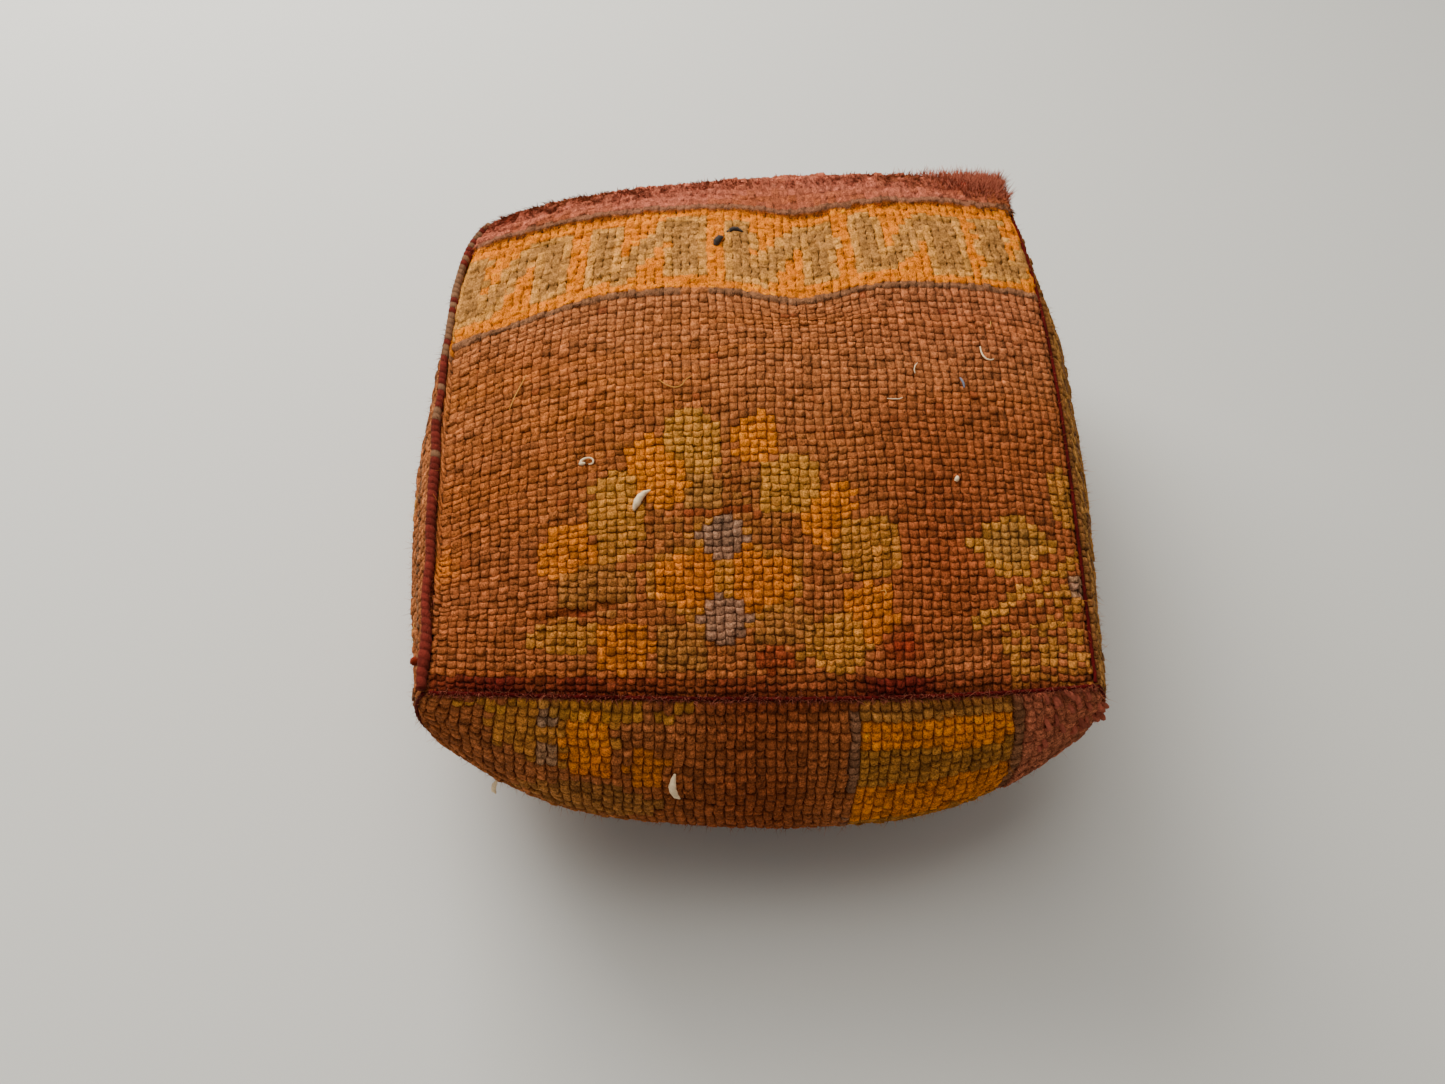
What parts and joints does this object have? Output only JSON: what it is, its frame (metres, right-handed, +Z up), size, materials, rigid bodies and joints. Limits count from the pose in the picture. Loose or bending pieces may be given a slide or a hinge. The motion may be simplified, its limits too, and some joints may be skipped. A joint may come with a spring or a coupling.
{
  "type": "floor pouf",
  "caption": "Low square floor pouf: a knotted wool rug cover with a zipped canvas underside, over a liner bag stuffed with fibre.",
  "frame": {"origin": "middle of the bounding box in plan, on the floor that the pouf stands on", "axes": "+Z up, the pouf's shortest side; +Y from the front edge to the back one, its longest side; +X to the right as seen from the front"},
  "size_m": [0.4588, 0.5378, 0.1991],
  "materials": {
    "rug_wool": "matte knotted wool pile, patterned",
    "canvas": "matte plain-weave cotton canvas",
    "zip_tape": "matte woven tape",
    "zip_coil": "satin nylon coil",
    "zip_metal": "satin antique brass",
    "liner_cotton": "matte unbleached cotton",
    "filling_fibre": "loose matte fibre",
    "selvedge_wool": "matte wrapped wool cord",
    "seam_thread": "matte twisted thread",
    "hem_thread": "matte twisted thread"
  },
  "bodies": {
    "cover": {"top_panel": "rug_wool", "front_panel": "rug_wool", "right_panel": "rug_wool", "back_panel": "rug_wool", "left_panel": "rug_wool", "base_front": "canvas", "base_rear": "canvas", "zip_end_tabs": "canvas", "zip_tape_front": "zip_tape", "zip_tape_rear": "zip_tape", "zip_coil_front": "zip_coil", "zip_coil_rear": "zip_coil", "zip_top_stops": "zip_metal", "zip_bottom_stop": "zip_metal", "liner_top": "liner_cotton", "liner_band": "liner_cotton", "liner_base": "liner_cotton", "filling": "filling_fibre", "left_selvedge": "selvedge_wool", "top_seam_front": "seam_thread", "top_seam_right": "seam_thread", "top_seam_back": "seam_thread", "corner_seam_front_left": "seam_thread", "corner_seam_front_right": "seam_thread", "corner_seam_back_right": "seam_thread", "corner_seam_back_left": "seam_thread", "base_seam_front": "hem_thread", "base_seam_right": "hem_thread", "base_seam_back": "hem_thread", "base_seam_left": "hem_thread"},
    "zip_slider": {"zip_slider": "zip_metal"},
    "zip_pull": {"zip_pull": "zip_metal"}
  },
  "joints": [
    {"name": "zip_slide", "type": "slide", "parent": "cover", "child": "zip_slider", "axis": [1, 0, 0], "range_m": [0, 0.26]},
    {"name": "pull_swing", "type": "hinge", "parent": "zip_slider", "child": "zip_pull", "pos_m": [-0.12007, 0.01423, 0.005], "axis": [0, 1, 0], "range_deg": [-6, 172]}
  ]
}
